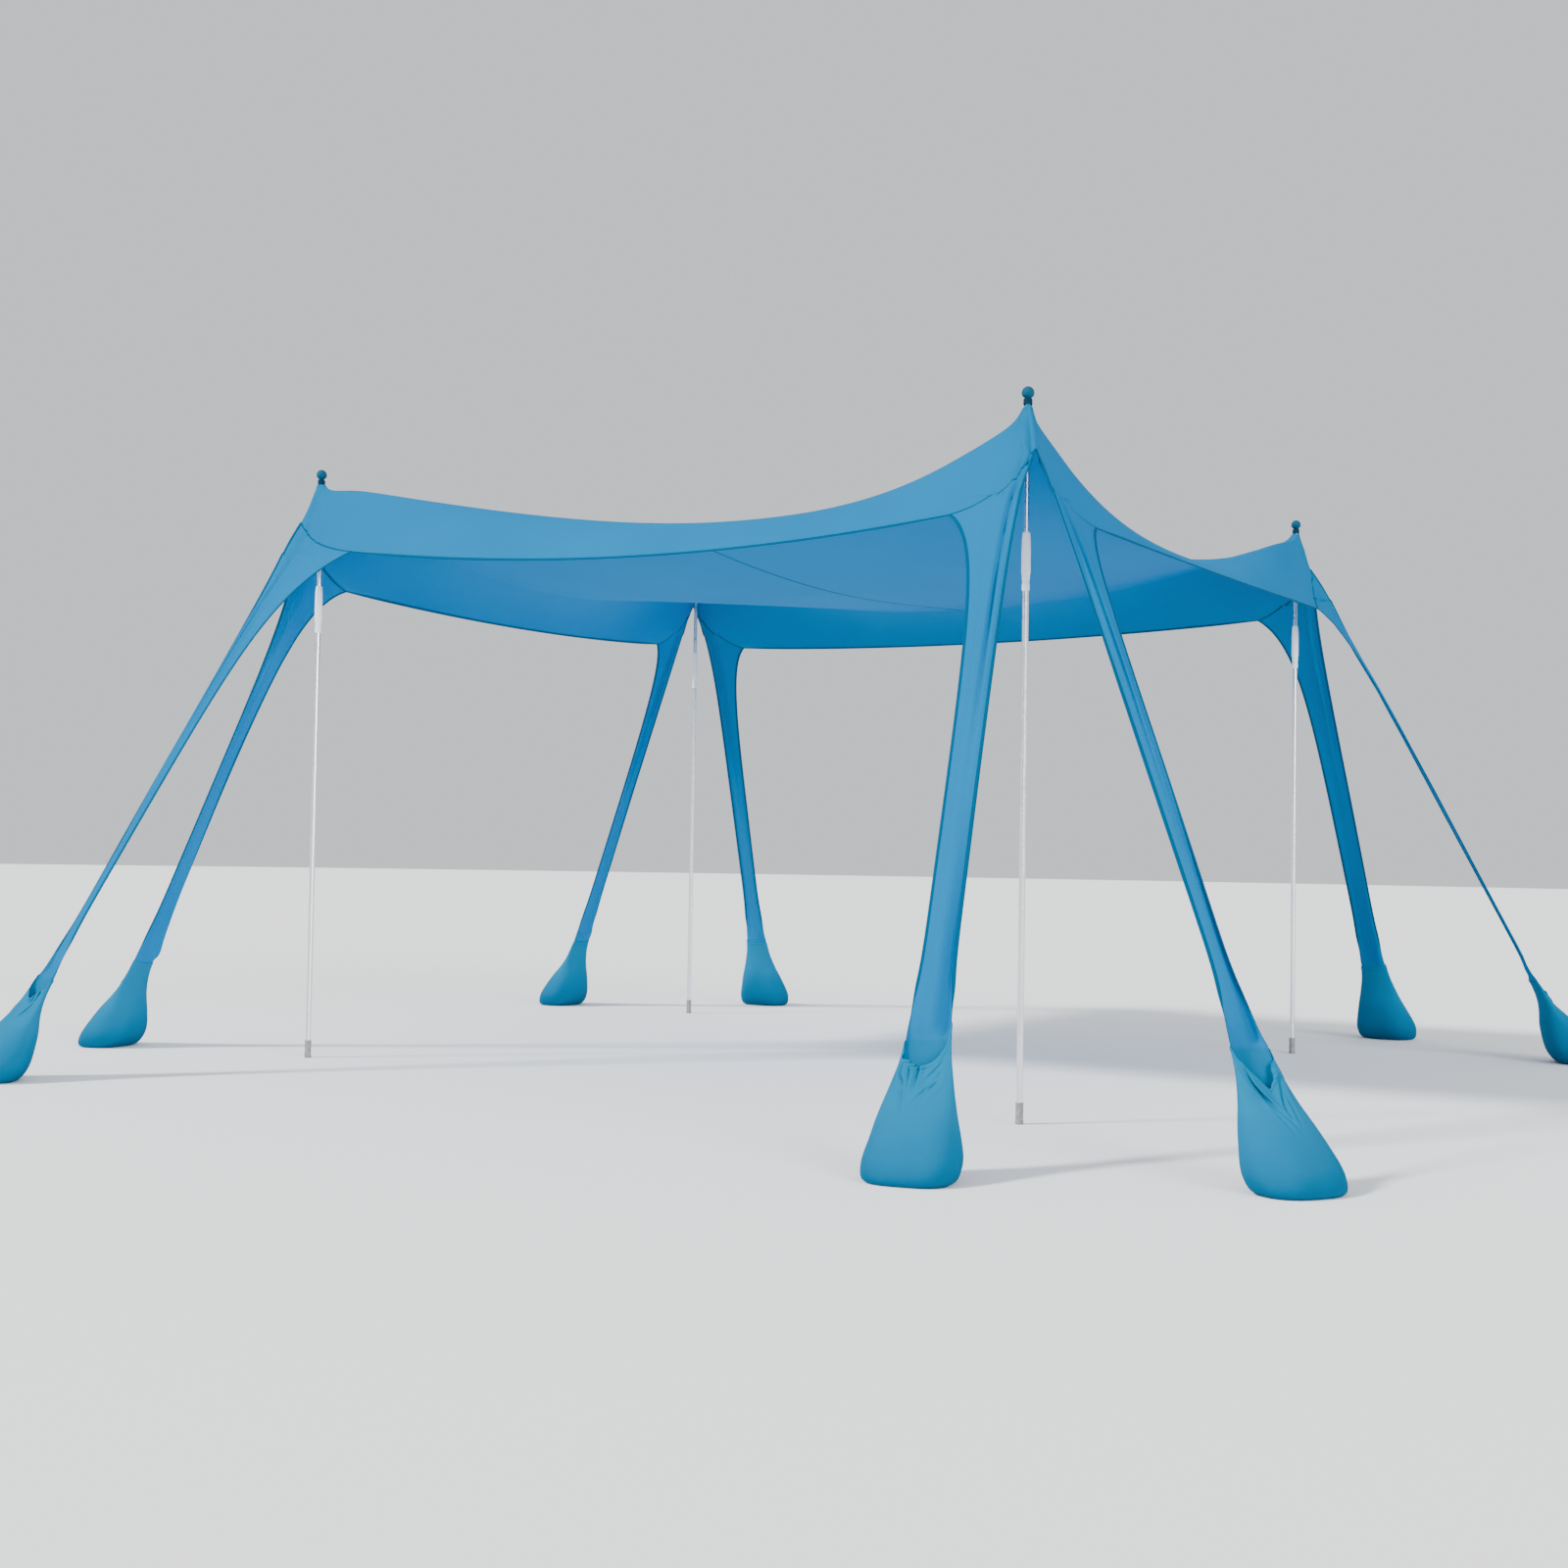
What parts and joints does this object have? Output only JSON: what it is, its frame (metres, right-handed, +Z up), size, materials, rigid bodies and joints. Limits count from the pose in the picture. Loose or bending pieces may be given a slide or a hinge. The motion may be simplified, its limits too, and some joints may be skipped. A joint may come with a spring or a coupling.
{
  "type": "beach sun shelter",
  "caption": "Stretch-fabric beach sun shelter: a sagging canopy on telescoping poles, held down by splayed fabric legs that end in sand-filled pockets.",
  "frame": {"origin": "middle of the footprint, on the ground", "axes": "+Z up; the front side, which faces the picture's left foreground, looks along -Y; +X runs from the front left pole to the front right pole"},
  "size_m": [5.1054, 5.084, 2.2391],
  "materials": {
    "canopy_fabric": "sky-blue knitted stretch fabric, matt with a soft sheen",
    "sandbag_fabric": "the same blue stretch fabric, pulled tight over damp sand",
    "knob_fabric": "dark teal fabric stretched over a ball",
    "tie_cord": "dark blue elastic cord, wound and tied",
    "pole_aluminium": "drawn silver aluminium tube, satin",
    "lock_plastic": "moulded white plastic",
    "foot_rubber": "grey rubber"
  },
  "bodies": {
    "canopy": {"leg_front_left_front": "canopy_fabric", "leg_front_left_left": "canopy_fabric", "leg_front_right_front": "canopy_fabric", "leg_front_right_right": "canopy_fabric", "leg_rear_left_left": "canopy_fabric", "leg_rear_left_rear": "canopy_fabric", "leg_rear_right_rear": "canopy_fabric", "leg_rear_right_right": "canopy_fabric", "peak_knob_front_left": "knob_fabric", "peak_knob_front_right": "knob_fabric", "peak_knob_rear_left": "knob_fabric", "peak_knob_rear_right": "knob_fabric", "peak_tie_front_left": "tie_cord", "peak_tie_front_right": "tie_cord", "peak_tie_rear_left": "tie_cord", "peak_tie_rear_right": "tie_cord", "pole_upper_front_left": "pole_aluminium", "pole_upper_front_right": "pole_aluminium", "pole_upper_rear_left": "pole_aluminium", "pole_upper_rear_right": "pole_aluminium", "roof_left": "canopy_fabric", "roof_right": "canopy_fabric", "sandbag_front_left_front": "sandbag_fabric", "sandbag_front_left_left": "sandbag_fabric", "sandbag_front_right_front": "sandbag_fabric", "sandbag_front_right_right": "sandbag_fabric", "sandbag_rear_left_left": "sandbag_fabric", "sandbag_rear_left_rear": "sandbag_fabric", "sandbag_rear_right_rear": "sandbag_fabric", "sandbag_rear_right_right": "sandbag_fabric", "valance_front": "canopy_fabric", "valance_left": "canopy_fabric", "valance_rear": "canopy_fabric", "valance_right": "canopy_fabric"},
    "lower_section_front_right": {"pole_lower_front_right": "pole_aluminium", "twist_lock_front_right": "lock_plastic", "pole_foot_front_right": "foot_rubber"},
    "lower_section_front_left": {"pole_lower_front_left": "pole_aluminium", "twist_lock_front_left": "lock_plastic", "pole_foot_front_left": "foot_rubber"},
    "lower_section_rear_left": {"pole_lower_rear_left": "pole_aluminium", "twist_lock_rear_left": "lock_plastic", "pole_foot_rear_left": "foot_rubber"},
    "lower_section_rear_right": {"pole_lower_rear_right": "pole_aluminium", "twist_lock_rear_right": "lock_plastic", "pole_foot_rear_right": "foot_rubber"}
  },
  "joints": [
    {"name": "telescope_front_right", "type": "slide", "parent": "canopy", "child": "lower_section_front_right", "axis": [0, 0, 1], "range_m": [0, 0.28]},
    {"name": "telescope_front_left", "type": "slide", "parent": "canopy", "child": "lower_section_front_left", "axis": [0, 0, 1], "range_m": [0, 0.28]},
    {"name": "telescope_rear_left", "type": "slide", "parent": "canopy", "child": "lower_section_rear_left", "axis": [0, 0, 1], "range_m": [0, 0.28]},
    {"name": "telescope_rear_right", "type": "slide", "parent": "canopy", "child": "lower_section_rear_right", "axis": [0, 0, 1], "range_m": [0, 0.28]}
  ]
}
